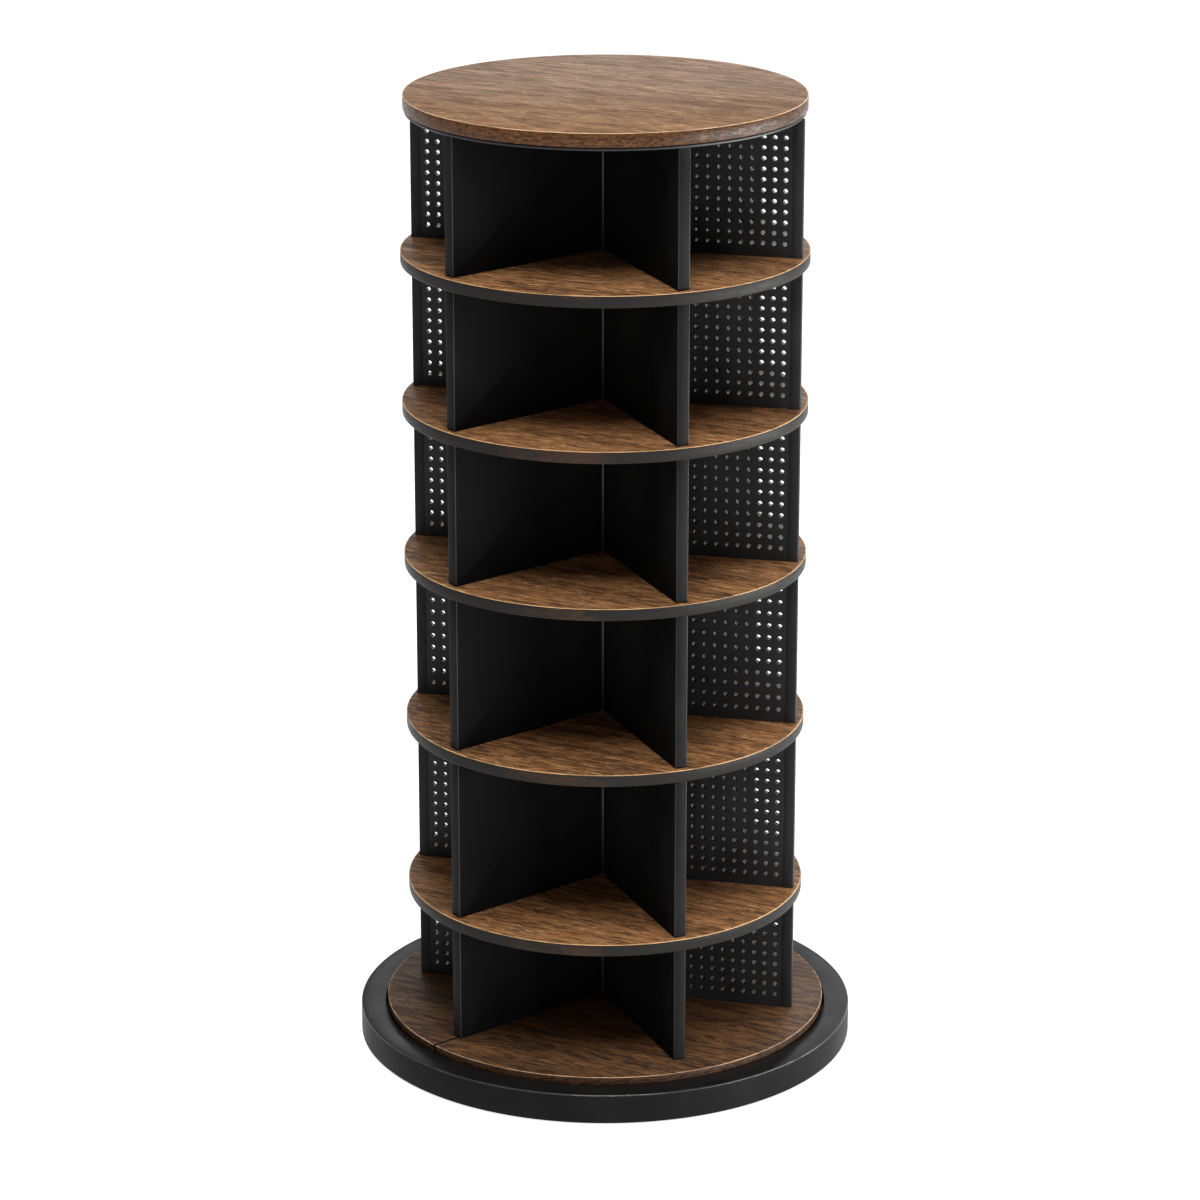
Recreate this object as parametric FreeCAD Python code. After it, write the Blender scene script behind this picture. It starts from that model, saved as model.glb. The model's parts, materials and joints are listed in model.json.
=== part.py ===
import FreeCAD, Part
import math
import os

# Rotating shelf tower on a ball turntable, in millimetres, with +Z up.
# The origin is the middle of the tower at the floor, and the perforated boards lie along X.

# Shelves and bottom disc
shelf_radius = 250.0
shelf_thickness = 15.0
bottom_disc_overhang = 28.8
bottom_disc_thickness = 15.0
bottom_disc_seam_gap = 1.0

# Top
top_disc_inset = 5.2
top_disc_thickness = 17.0
top_plate_inset = 7.0
top_plate_thickness = 4.5

# Clear height of each tier, from the top one down
tier_1_clear_height = 169.5
tier_2_clear_height = 173.5
tier_3_clear_height = 179.5
tier_4_clear_height = 195.5
tier_5_clear_height = 205.5
tier_6_clear_height = 148.0

# Upright boards, which stand round the post like spokes
divider_thickness = 15.0
divider_setback = 7.5
perforated_board_thickness = 9.0
perforated_board_setback = 5.2
divider_angle = 54.0

# Centre post, and the threaded rod in it that clamps the tower together
post_radius = 12.7
post_wall = 1.5
post_clearance = 0.3
tie_rod_radius = 4.0
tie_rod_clearance = 0.5
tie_rod_projection = 1.5
nut_flat_radius = 6.5
nut_height = 6.5
nut_thread_clearance = 0.05
nut_pocket_clearance = 0.5
washer_side = 22.0
washer_thickness = 1.6

# Base, a round floor board inside a black ring
pad_height = 2.0
pad_side = 24.0
pad_edge_distance = 3.0
pad_count = 6
base_floor_thickness = 18.0
base_floor_clearance = 0.2
disc_running_gap = 2.7
ring_width = 31.5
ring_rise = 19.5
ring_edge_bevel = 1.5

# Ball turntable of two square steel plates, between the base floor and the bottom disc
bearing_height = 13.0
race_plate_side = 305.0
race_plate_thickness = 2.0
race_plate_hole_radius = 20.0
ball_track_radius = 130.0
ball_clearance = 0.05
ball_count = 12
ball_profile_steps = 4
ball_sides = 8
race_lip_rise = 3.0
race_lip_thickness = 1.5
race_lip_clearance = 0.3
cage_thickness = 1.4
cage_margin = 3.5
cage_pocket_clearance = 0.2

# Hexagon head screws in the corners of the race plates and under the top plate
screw_corner_inset = 12.0
screw_head_flat_radius = 3.5
screw_head_height = 2.8
screw_shank_radius = 2.0
screw_shank_sides = 6
screw_length = 12.0
screw_clearance = 0.1
access_hole_radius = 9.0
corner_count = 4
top_screw_circle_radius = 120.0
top_screw_count = 4

# Shared by every cut
cut_overrun = 1.0

# Directions
full_turn = 360.0
half_turn = 180.0
hexagon_sides = 6
centre = FreeCAD.Vector(0, 0, 0)
up = FreeCAD.Vector(0, 0, 1)

# Heights from the floor up
base_floor_top = pad_height + base_floor_thickness
ring_top = base_floor_top + ring_rise
bottom_disc_bottom = base_floor_top + bearing_height
bottom_disc_top = bottom_disc_bottom + bottom_disc_thickness
lower_race_top = base_floor_top + race_plate_thickness
upper_race_bottom = bottom_disc_bottom - race_plate_thickness
ball_centre_height = base_floor_top + bearing_height / 2

# Radii from the shelves out
divider_end_radius = shelf_radius - divider_setback
perforated_board_end_radius = shelf_radius - perforated_board_setback
top_disc_radius = shelf_radius - top_disc_inset
top_plate_radius = shelf_radius - top_plate_inset
bottom_disc_radius = shelf_radius + bottom_disc_overhang
recess_radius = bottom_disc_radius + disc_running_gap
base_floor_radius = recess_radius - base_floor_clearance
base_radius = recess_radius + ring_width
pad_circle_radius = base_floor_radius - pad_edge_distance - pad_side / 2

# Radii of the turntable and of the holes
ball_radius = (upper_race_bottom - lower_race_top) / 2 - ball_clearance
outer_lip_radius = ball_track_radius + ball_radius + race_lip_clearance
inner_lip_radius = ball_track_radius - ball_radius - race_lip_clearance
pocket_half_side = ball_radius + cage_pocket_clearance
screw_hole_radius = screw_shank_radius + screw_clearance
tie_rod_hole_radius = tie_rod_radius + tie_rod_clearance

# Angles: the seam of the bottom disc runs under two of the dividers
seam_angle = divider_angle
corner_angle = full_turn / corner_count / 2
corner_radius = (race_plate_side / 2 - screw_corner_inset) / math.cos(math.radians(corner_angle))
top_screw_angle = divider_angle / 2


def turned(shape, angle):
    """Copy of a shape, turned about the tower's axis."""
    copy = shape.copy()
    copy.rotate(centre, up, angle)
    return copy


def spread(shape, count, first_angle):
    """Equal copies of a shape, evenly spaced about the tower's axis."""
    step = full_turn / count
    return Part.makeCompound([turned(shape, first_angle + index * step) for index in range(count)])


def cylinder(radius, bottom, height, distance=0):
    """Upright cylinder, at a distance from the tower's axis along X."""
    return Part.makeCylinder(radius, height, FreeCAD.Vector(distance, 0, bottom))


def hole(radius, bottom, depth, distance=0):
    """Cutter for an upright hole, which overruns both ends."""
    return cylinder(radius, bottom - cut_overrun, depth + cut_overrun + cut_overrun, distance)


def ring(outer_radius, inner_radius, bottom, height):
    """Round plate or tube about the tower's axis."""
    return cylinder(outer_radius, bottom, height).cut(hole(inner_radius, bottom, height))


def block(length, width, height, bottom, distance=0):
    """Box centred across Y, and on a place along X."""
    corner = FreeCAD.Vector(distance - length / 2, -width / 2, bottom)
    return Part.makeBox(length, width, height, corner)


def prism(sides, corner_radius, bottom, height, distance=0):
    """Upright prism on a regular polygon, at a distance from the tower's axis along X."""
    step = math.radians(full_turn / sides)
    corners = [FreeCAD.Vector(distance + corner_radius * math.cos(index * step),
                              corner_radius * math.sin(index * step), bottom)
               for index in range(sides + 1)]
    return Part.Face(Part.makePolygon(corners)).extrude(FreeCAD.Vector(0, 0, height))


def hexagon(flat_radius, bottom, height, distance=0):
    """Hexagon bar of a given radius to its flats."""
    corner_radius = flat_radius / math.cos(math.radians(half_turn / hexagon_sides))
    return prism(hexagon_sides, corner_radius, bottom, height, distance)


def revolved(section):
    """Solid turned from a closed section of radius and height pairs."""
    corners = [FreeCAD.Vector(radius, 0, height) for radius, height in section]
    outline = Part.makePolygon(corners + corners[:1])
    return Part.Face(outline).revolve(centre, up, full_turn)


def faceted_ball(radius, distance, height):
    """Ball of flat facets whose corners lie on the sphere, with a pole at its top and bottom."""
    def corner(row, side):
        slope = math.radians(half_turn * row / ball_profile_steps)
        turn = math.radians(full_turn * side / ball_sides)
        waist = radius * math.sin(slope)
        return FreeCAD.Vector(distance + waist * math.cos(turn), waist * math.sin(turn),
                              height + radius * math.cos(slope))
    faces = []
    for row in range(ball_profile_steps):
        for side in range(ball_sides):
            points = [corner(row, side), corner(row, side + 1),
                      corner(row + 1, side + 1), corner(row + 1, side)]
            if row == 0:
                points.pop(1)
            if row == ball_profile_steps - 1:
                points.pop()
            faces.append(Part.Face(Part.makePolygon(points + points[:1])))
    return Part.Solid(Part.Shell(faces))


def screw(distance, seat_height, way):
    """Hexagon head screw along X, whose shank points up for a way of 1 and down for -1."""
    head_bottom = seat_height - screw_head_height if way > 0 else seat_height
    shank_bottom = seat_height if way > 0 else seat_height - screw_length
    head = hexagon(screw_head_flat_radius, head_bottom, screw_head_height, distance)
    return head.fuse(prism(screw_shank_sides, screw_shank_radius, shank_bottom, screw_length, distance))


def screw_hole(bottom, depth, distance):
    """Cutter for the hole that a screw's shank fills."""
    return prism(screw_shank_sides, screw_hole_radius, bottom, depth, distance)


def screw_pilot(distance, seat_height, way):
    """Cutter for the blind hole that a screw turns into."""
    depth = screw_length + screw_clearance
    return screw_hole(seat_height if way > 0 else seat_height - depth, depth, distance)


def race_plate(bottom, lip):
    """Square pressed plate with a raised lip, an open centre and a screw hole in each corner."""
    plate = block(race_plate_side, race_plate_side, race_plate_thickness, bottom).fuse(lip)
    plate = plate.cut(hole(race_plate_hole_radius, bottom, race_plate_thickness))
    corner_hole = screw_hole(bottom, race_plate_thickness, corner_radius)
    return plate.cut(spread(corner_hole, corner_count, corner_angle)).removeSplitter()


def hexagon_nut(bottom):
    """Nut about the tower's axis, with a bore that runs on the rod."""
    bore = hole(tie_rod_radius + nut_thread_clearance, bottom, nut_height)
    return hexagon(nut_flat_radius, bottom, nut_height).cut(bore)


def square_washer(bottom):
    """Square plate washer about the tower's axis."""
    plate = block(washer_side, washer_side, washer_thickness, bottom)
    return plate.cut(hole(tie_rod_hole_radius, bottom, washer_thickness))


def upright_board(angle, end_radius, thickness, bottom, height):
    """Board that stands from the post out to just inside the shelf's rim."""
    length = end_radius - post_radius
    return turned(block(length, thickness, height, bottom, post_radius + length / 2), angle)


def save(name, shape):
    """Writes one piece, or one group of equal pieces, under its own name."""
    shape.exportStep(os.path.join("parts", name + ".step"))


os.makedirs("parts", exist_ok=True)

# Base: rubber pads, floor board and ring, whose outer edge is bevelled
save("foot_pads", spread(block(pad_side, pad_side, pad_height, 0, pad_circle_radius), pad_count, 0))
base_floor = cylinder(base_floor_radius, pad_height, base_floor_thickness)
lower_pilot = screw_pilot(corner_radius, lower_race_top, -1)
base_floor = base_floor.cut(spread(lower_pilot, corner_count, corner_angle))
save("base_floor", base_floor.cut(hole(access_hole_radius, pad_height, base_floor_thickness, corner_radius)))
save("base_ring", revolved([
    (recess_radius, pad_height),
    (recess_radius, ring_top),
    (base_radius - ring_edge_bevel, ring_top),
    (base_radius, ring_top - ring_edge_bevel),
    (base_radius, pad_height),
]))

# Race plates: the lower lip stands outside the ball track and the upper one inside it
outer_lip = ring(outer_lip_radius + race_lip_thickness, outer_lip_radius,
                 base_floor_top, race_plate_thickness + race_lip_rise)
inner_lip = ring(inner_lip_radius, inner_lip_radius - race_lip_thickness,
                 upper_race_bottom - race_lip_rise, race_plate_thickness + race_lip_rise)
save("bearing_lower_plate", race_plate(base_floor_top, outer_lip))
save("bearing_upper_plate", race_plate(upper_race_bottom, inner_lip))

# Balls, and the flat cage that spaces them
ball = faceted_ball(ball_radius, ball_track_radius, ball_centre_height)
save("bearing_balls", spread(ball, ball_count, 0))

cage_bottom = ball_centre_height - cage_thickness / 2
pocket = block(pocket_half_side + pocket_half_side, pocket_half_side + pocket_half_side,
               cage_thickness + cut_overrun + cut_overrun, cage_bottom - cut_overrun, ball_track_radius)
cage = ring(ball_track_radius + pocket_half_side + cage_margin,
            ball_track_radius - pocket_half_side - cage_margin, cage_bottom, cage_thickness)
save("bearing_cage", cage.cut(spread(pocket, ball_count, 0)))

# Corner screws of the race plates, with their heads between the plates
save("bearing_lower_screws", spread(screw(corner_radius, lower_race_top, -1), corner_count, corner_angle))
save("bearing_upper_screws", spread(screw(corner_radius, upper_race_bottom, 1), corner_count, corner_angle))

# Bottom disc, in two halves that the upper race plate ties together
bottom_disc = cylinder(bottom_disc_radius, bottom_disc_bottom, bottom_disc_thickness)
upper_pilot = screw_pilot(corner_radius, upper_race_bottom, 1)
bottom_disc = bottom_disc.cut(spread(upper_pilot, corner_count, corner_angle))
bottom_disc = bottom_disc.cut(hole(tie_rod_hole_radius, bottom_disc_bottom, bottom_disc_thickness))
half_reach = bottom_disc_radius + cut_overrun
half_space = Part.makeBox(half_reach + half_reach, half_reach, bottom_disc_thickness,
                          FreeCAD.Vector(-half_reach, bottom_disc_seam_gap / 2, bottom_disc_bottom))
save("bottom_disc_back", bottom_disc.common(turned(half_space, seam_angle)))
save("bottom_disc_front", bottom_disc.common(turned(half_space, seam_angle + half_turn)))

# Six boards to a tier, and a shelf with a bore for the post on top of every tier but the first
divider = (divider_end_radius, divider_thickness)
perforated_board = (perforated_board_end_radius, perforated_board_thickness)
board_places = {
    "perforated_right": (0, perforated_board),
    "divider_back_right": (divider_angle, divider),
    "divider_back_left": (half_turn - divider_angle, divider),
    "perforated_left": (half_turn, perforated_board),
    "divider_front_left": (half_turn + divider_angle, divider),
    "divider_front_right": (full_turn - divider_angle, divider),
}
tier_heights = [tier_1_clear_height, tier_2_clear_height, tier_3_clear_height,
                tier_4_clear_height, tier_5_clear_height, tier_6_clear_height]
tier_floor = bottom_disc_top
for tier in range(len(tier_heights), 0, -1):
    clear_height = tier_heights[tier - 1]
    for place, (angle, (end_radius, thickness)) in board_places.items():
        board = upright_board(angle, end_radius, thickness, tier_floor, clear_height)
        save("tier_%d_%s" % (tier, place), board)
    tier_ceiling = tier_floor + clear_height
    if tier > 1:
        save("shelf_%d" % (tier - 1), ring(shelf_radius, post_radius + post_clearance,
                                           tier_ceiling, shelf_thickness))
        tier_floor = tier_ceiling + shelf_thickness

# Steel post, from the bottom disc up through the shelves to the top plate
top_plate_bottom = tier_ceiling
top_disc_bottom = top_plate_bottom + top_plate_thickness
save("centre_post", ring(post_radius, post_radius - post_wall, bottom_disc_top,
                         top_plate_bottom - bottom_disc_top))

# Threaded rod through the post, with a nut and a washer at each end
lower_washer_bottom = bottom_disc_bottom - washer_thickness
lower_nut_bottom = lower_washer_bottom - nut_height
upper_nut_bottom = top_disc_bottom + washer_thickness
rod_bottom = lower_nut_bottom - tie_rod_projection
rod_top = upper_nut_bottom + nut_height + tie_rod_projection
save("tie_rod", cylinder(tie_rod_radius, rod_bottom, rod_top - rod_bottom))
save("tie_rod_nuts", Part.makeCompound([hexagon_nut(lower_nut_bottom), hexagon_nut(upper_nut_bottom)]))
washers = [square_washer(bottom) for bottom in (lower_washer_bottom, top_disc_bottom)]
save("tie_rod_washers", Part.makeCompound(washers))

# Top plate, and the thick wooden top disc that lies on it with a pocket for the upper nut
top_plate = ring(top_plate_radius, tie_rod_hole_radius, top_plate_bottom, top_plate_thickness)
plate_hole = screw_hole(top_plate_bottom, top_plate_thickness, top_screw_circle_radius)
save("top_plate", top_plate.cut(spread(plate_hole, top_screw_count, top_screw_angle)))
top_disc = cylinder(top_disc_radius, top_disc_bottom, top_disc_thickness)
nut_pocket = cylinder(math.hypot(washer_side, washer_side) / 2 + nut_pocket_clearance, top_disc_bottom,
                      rod_top - top_disc_bottom + nut_pocket_clearance)
top_pilot = screw_pilot(top_screw_circle_radius, top_plate_bottom, 1)
save("top_disc", top_disc.cut(nut_pocket).cut(spread(top_pilot, top_screw_count, top_screw_angle)))
save("top_plate_screws", spread(screw(top_screw_circle_radius, top_plate_bottom, 1),
                                top_screw_count, top_screw_angle))
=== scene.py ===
"""Rotating shelf tower, dressed for the studio.

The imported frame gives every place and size, in metres. Each sub-assembly is a class that models its own
pieces around the frame and dresses them in the finishes that stand first in the file.
"""

import json
import logging
import math
from collections.abc import Callable
from dataclasses import dataclass
from enum import Enum

import bmesh
import bpy
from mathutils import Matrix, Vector


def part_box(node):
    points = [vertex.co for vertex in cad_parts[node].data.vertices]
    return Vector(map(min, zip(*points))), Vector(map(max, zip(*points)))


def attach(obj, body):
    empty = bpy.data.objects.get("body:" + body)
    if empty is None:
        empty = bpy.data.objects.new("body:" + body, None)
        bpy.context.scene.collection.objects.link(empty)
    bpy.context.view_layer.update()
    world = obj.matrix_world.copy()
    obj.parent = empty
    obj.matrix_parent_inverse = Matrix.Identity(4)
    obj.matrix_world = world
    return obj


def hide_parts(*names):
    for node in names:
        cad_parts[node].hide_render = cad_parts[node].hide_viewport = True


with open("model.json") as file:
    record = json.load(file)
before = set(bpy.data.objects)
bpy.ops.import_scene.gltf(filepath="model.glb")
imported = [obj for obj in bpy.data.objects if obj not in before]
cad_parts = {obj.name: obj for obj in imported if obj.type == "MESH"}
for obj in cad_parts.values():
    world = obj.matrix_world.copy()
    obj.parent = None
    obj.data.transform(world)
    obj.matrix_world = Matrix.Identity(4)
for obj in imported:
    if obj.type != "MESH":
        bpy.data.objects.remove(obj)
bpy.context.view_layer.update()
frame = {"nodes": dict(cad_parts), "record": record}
log = logging.getLogger("shelf_tower")

Triple = tuple[float, float, float]
Socket = bpy.types.NodeSocket
Piece = bpy.types.Object
Material = bpy.types.Material
Edge = bmesh.types.BMEdge
Face = bmesh.types.BMFace
EdgeTest = Callable[[Edge], bool]
FaceTest = Callable[[Face], bool]

TIERS = range(1, 7)
SHELVES = range(1, 6)
BOARD_ANGLE = 54.0  # of dividers and seam, in degrees from the perforated boards
ROUND_SIDES = 256
NEAR = 0.0001  # how far off its place a vertex may lie and still be picked


class Body(Enum):
    """Bodies of the frame that a modelled piece rides on."""

    BASE = "base"
    TOWER = "tower"


class Element(Enum):
    """Kinds of mesh element that can be picked in edit mode."""

    EDGE = "EDGE"
    FACE = "FACE"


class Operation(Enum):
    """Operations on two values of a material."""

    ABSOLUTE = "ABSOLUTE"
    ADD = "ADD"
    ARCTAN2 = "ARCTAN2"
    MULTIPLY = "MULTIPLY"
    SUBTRACT = "SUBTRACT"


# Finishes

class Recipe:
    """Places and links the nodes of one material."""

    def __init__(self, name: str) -> None:
        """Starts a material with a plain shader and the piece's own coordinates."""
        self.material = bpy.data.materials.new(name)
        self.material.use_nodes = True
        self.tree = self.material.node_tree
        self.shader = self.tree.nodes["Principled BSDF"]
        self.spot = self.add("ShaderNodeTexCoord").outputs["Object"]

    def add(self, kind: str, **settings: object) -> bpy.types.Node:
        """Adds a node.

        Args:
            kind: the node's type.
            settings: the node's own properties.

        Returns:
            The new node.
        """
        node = self.tree.nodes.new(kind)
        for key, value in settings.items():
            setattr(node, key, value)
        return node

    def feed(self, socket: Socket, value: object) -> None:
        """Links a socket to another one, or sets it to a constant.

        Args:
            socket: the socket to feed.
            value: an output socket, a number, a vector or a colour.
        """
        if isinstance(value, Socket):
            self.tree.links.new(value, socket)
        elif socket.type == "RGBA":
            socket.default_value = (*value, 1.0)
        else:
            socket.default_value = value

    def wrap(self, radius: float) -> None:
        """Turns the coordinates into the length round the axis and the height, for a band round a rim.

        Args:
            radius: the rim's radius.
        """
        parts = self.add("ShaderNodeSeparateXYZ")
        self.feed(parts.inputs["Vector"], self.spot)
        angle = self.reckon(Operation.ARCTAN2, parts.outputs["Y"], parts.outputs["X"])
        band = self.add("ShaderNodeCombineXYZ")
        self.feed(band.inputs["X"], self.times(angle, radius))
        self.feed(band.inputs["Z"], parts.outputs["Z"])
        self.spot = band.outputs["Vector"]

    def noise(self, stretch: Triple, detail: float = 4.0, roughness: float = 0.55,
              distortion: float = 0.0, turn: float = 0.0) -> Socket:
        """Fractal noise over the piece.

        Args:
            stretch: features to the metre along X, Y and Z.
            detail: number of finer layers.
            roughness: strength of the finer layers.
            distortion: how far the pattern is stirred.
            turn: how far the pattern is turned about Z, in degrees.

        Returns:
            The noise, from 0 to 1.
        """
        mapping = self.add("ShaderNodeMapping", vector_type="TEXTURE")
        self.feed(mapping.inputs["Vector"], self.spot)
        self.feed(mapping.inputs["Rotation"], (0.0, 0.0, math.radians(turn)))
        self.feed(mapping.inputs["Scale"], tuple(1.0 / part for part in stretch))
        texture = self.add("ShaderNodeTexNoise")
        for name, value in (("Vector", mapping.outputs["Vector"]), ("Scale", 1.0), ("Detail", detail),
                            ("Roughness", roughness), ("Distortion", distortion)):
            self.feed(texture.inputs[name], value)
        return texture.outputs["Fac"]

    def remap(self, value: Socket, low: float, high: float, to_low: float = 0.0,
              to_high: float = 1.0) -> Socket:
        """Smooth step from one value to another.

        Args:
            value: the value to read.
            low: where the step starts.
            high: where the step ends.
            to_low: the result before the step.
            to_high: the result after the step.

        Returns:
            The stepped value.
        """
        node = self.add("ShaderNodeMapRange", interpolation_type="SMOOTHSTEP")
        for name, number in (("Value", value), ("From Min", low), ("From Max", high),
                             ("To Min", to_low), ("To Max", to_high)):
            self.feed(node.inputs[name], number)
        return node.outputs["Result"]

    def reckon(self, kind: Operation, first: object, second: object = 0.0) -> Socket:
        """Works out a value from one or two others.

        Args:
            kind: the operation.
            first: the first socket or number.
            second: the second socket or number, for the operations that read one.

        Returns:
            The result.
        """
        node = self.add("ShaderNodeMath", operation=kind.value)
        self.feed(node.inputs[0], first)
        self.feed(node.inputs[1], second)
        return node.outputs["Value"]

    def times(self, first: object, second: object) -> Socket:
        """Product of two sockets or numbers."""
        return self.reckon(Operation.MULTIPLY, first, second)

    def plus(self, first: object, second: object) -> Socket:
        """Sum of two sockets or numbers."""
        return self.reckon(Operation.ADD, first, second)

    def minus(self, first: object, second: object) -> Socket:
        """Difference of two sockets or numbers."""
        return self.reckon(Operation.SUBTRACT, first, second)

    def mix(self, share: object, under: object, over: object, kind: str = "MIX") -> Socket:
        """Lays one colour over another.

        Args:
            share: how much of the upper colour shows.
            under: the lower colour.
            over: the upper colour.
            kind: the way they blend.

        Returns:
            The blended colour.
        """
        node = self.add("ShaderNodeMix", data_type="RGBA", blend_type=kind)
        inputs = {socket.identifier: socket for socket in node.inputs}
        self.feed(inputs["Factor_Float"], share)
        self.feed(inputs["A_Color"], under)
        self.feed(inputs["B_Color"], over)
        return next(socket for socket in node.outputs if socket.identifier == "Result_Color")

    def grey(self, value: Socket) -> Socket:
        """Grey of a given brightness.

        Args:
            value: the brightness.

        Returns:
            The grey, as a colour.
        """
        node = self.add("ShaderNodeCombineColor")
        for socket in node.inputs:
            self.feed(socket, value)
        return node.outputs["Color"]

    def radius(self) -> Socket:
        """Distance from the tower's axis."""
        flat = self.add("ShaderNodeVectorMath", operation="MULTIPLY")
        self.feed(flat.inputs[0], self.spot)
        self.feed(flat.inputs[1], (1.0, 1.0, 0.0))
        length = self.add("ShaderNodeVectorMath", operation="LENGTH")
        self.feed(length.inputs[0], flat.outputs["Vector"])
        return length.outputs["Value"]

    def bump(self, height: Socket, depth: float, strength: float) -> None:
        """Raises the surface by a pattern.

        Args:
            height: the pattern.
            depth: its depth in metres.
            strength: how much of it counts.
        """
        node = self.add("ShaderNodeBump")
        self.feed(node.inputs["Height"], height)
        self.feed(node.inputs["Distance"], depth)
        self.feed(node.inputs["Strength"], strength)
        self.feed(self.shader.inputs["Normal"], node.outputs["Normal"])

    def finish(self, colour: object, roughness: object, gloss: float = 0.5,
               metal: float = 0.0) -> Material:
        """Feeds the shader.

        Args:
            colour: base colour.
            roughness: roughness of the surface.
            gloss: level of the plain reflection.
            metal: 1 for bare metal.

        Returns:
            The finished material.
        """
        self.feed(self.shader.inputs["Base Color"], colour)
        self.feed(self.shader.inputs["Roughness"], roughness)
        self.feed(self.shader.inputs["Specular IOR Level"], gloss)
        self.feed(self.shader.inputs["Metallic"], metal)
        return self.material


@dataclass(frozen=True)
class RusticWood:
    """Rustic brown board face with a worn line at the rim, or a band of the same wood round a rim."""

    name: str
    light: Triple
    middle: Triple
    dark: Triple
    rim_radius: float
    pore: Triple = (0.018, 0.009, 0.005)
    sliver: Triple = (0.42, 0.24, 0.115)
    worn: Triple = (0.5, 0.28, 0.13)
    worn_width: float = 0.0009
    tick_share: float = 0.85
    sliver_share: float = 0.5
    streak_share: float = 0.85
    band: bool = False
    grain_angle: float = -13.0
    relief: float = 0.0004
    roughness: float = 0.5
    gloss: float = 0.25

    def material(self) -> Material:
        """Makes the board's material."""
        recipe = Recipe(self.name)
        wear = 0.0 if self.band else self.rim_wear(recipe)
        turn, along, across = self.grain_angle, 1.0, 1.0
        if self.band:
            recipe.wrap(self.rim_radius)
            turn, along, across = 0.0, 3.0, 1.2
        cloud = recipe.noise((3.0, 28.0, 28.0), detail=3.0, distortion=0.5, turn=turn)
        grain = recipe.noise((20.0 * along, 150.0 * across, 150.0 * across), roughness=0.65,
                             distortion=0.5, turn=turn)
        streak = recipe.noise((44.0 * along, 300.0 * across, 300.0 * across), detail=3.0, roughness=0.65,
                              distortion=0.6, turn=turn)
        tick = recipe.noise((46.0 * along, 250.0 * across, 250.0 * across), detail=3.0, roughness=0.65,
                            distortion=0.6, turn=turn)
        fibre = recipe.noise((90.0, 1100.0, 1100.0), detail=2.0, turn=turn)
        tone = recipe.plus(recipe.times(grain, 0.65), recipe.times(cloud, 0.35))
        colour = recipe.mix(recipe.remap(tone, 0.4, 0.5), self.dark, self.middle)
        colour = recipe.mix(recipe.remap(tone, 0.48, 0.6), colour, self.light)
        colour = recipe.mix(recipe.remap(streak, 0.53, 0.57, 0.0, self.streak_share), colour, self.light)
        colour = recipe.mix(recipe.remap(streak, 0.45, 0.41, 0.0, self.streak_share), colour, self.dark)
        slivers = recipe.times(recipe.remap(tick, 0.42, 0.39, 0.0, self.sliver_share),
                               recipe.remap(cloud, 0.4, 0.54, 0.25, 1.0))
        colour = recipe.mix(slivers, colour, self.sliver)
        ticks = recipe.times(recipe.remap(tick, 0.585, 0.61, 0.0, self.tick_share),
                             recipe.remap(cloud, 0.62, 0.44, 0.35, 1.0))
        colour = recipe.mix(ticks, colour, self.pore)
        shade = recipe.remap(fibre, 0.3, 0.7, 0.84, 1.14)
        colour = recipe.mix(1.0, colour, recipe.grey(shade), "MULTIPLY")
        colour = recipe.mix(wear, colour, self.worn)
        recipe.bump(recipe.minus(recipe.times(streak, 0.6), ticks), self.relief, 0.5)
        roughness = recipe.remap(grain, 0.35, 0.65, self.roughness + 0.08, self.roughness - 0.06)
        return recipe.finish(colour, roughness, self.gloss)

    def rim_wear(self, recipe: Recipe) -> Socket:
        """Ragged line where the rim is rubbed through.

        Args:
            recipe: the material that it is laid in.

        Returns:
            How worn the spot is, from 0 to 1.
        """
        ragged = recipe.noise((150.0, 150.0, 90.0), roughness=0.7)
        reach = recipe.remap(ragged, 0.38, 0.66, 0.7 * self.worn_width, 2.1 * self.worn_width)
        past = recipe.minus(recipe.plus(recipe.radius(), reach), self.rim_radius)
        rubbed = recipe.remap(recipe.noise((22.0, 22.0, 40.0), detail=2.0), 0.36, 0.56, 0.45, 0.95)
        return recipe.times(recipe.remap(past, 0.0, self.worn_width / 3), rubbed)


@dataclass(frozen=True)
class PaintedEdge:
    """Black painted rim, rubbed back to brown at the front and back of the wide bays."""

    name: str
    rim_radius: float
    paint: Triple = (0.0165, 0.0155, 0.0145)
    rubbed: Triple = (0.075, 0.036, 0.018)
    rub_share: float = 0.4
    rub_depth: float = 0.95
    relief: float = 0.00015
    roughness: float = 0.36
    gloss: float = 0.065

    def material(self) -> Material:
        """Makes the rim's material."""
        recipe = Recipe(self.name)
        patch = recipe.noise((11.0, 11.0, 37.0), detail=3.0, roughness=0.6)
        scuff = recipe.noise((120.0, 120.0, 420.0), roughness=0.7)
        both = recipe.plus(recipe.times(patch, 0.7), recipe.times(scuff, 0.3))
        rub = recipe.remap(both, 0.46, 0.58, 0.0, self.rub_share)
        parts = recipe.add("ShaderNodeSeparateXYZ")
        recipe.feed(parts.inputs["Vector"], recipe.spot)
        depth = recipe.reckon(Operation.ABSOLUTE, parts.outputs["Y"])
        handled = recipe.remap(depth, self.rim_radius * self.rub_depth, self.rim_radius)
        colour = recipe.mix(recipe.times(rub, handled), self.paint, self.rubbed)
        recipe.bump(scuff, self.relief, 0.3)
        roughness = recipe.remap(scuff, 0.3, 0.7, self.roughness - 0.05, self.roughness + 0.14)
        return recipe.finish(colour, roughness, self.gloss)


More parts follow.
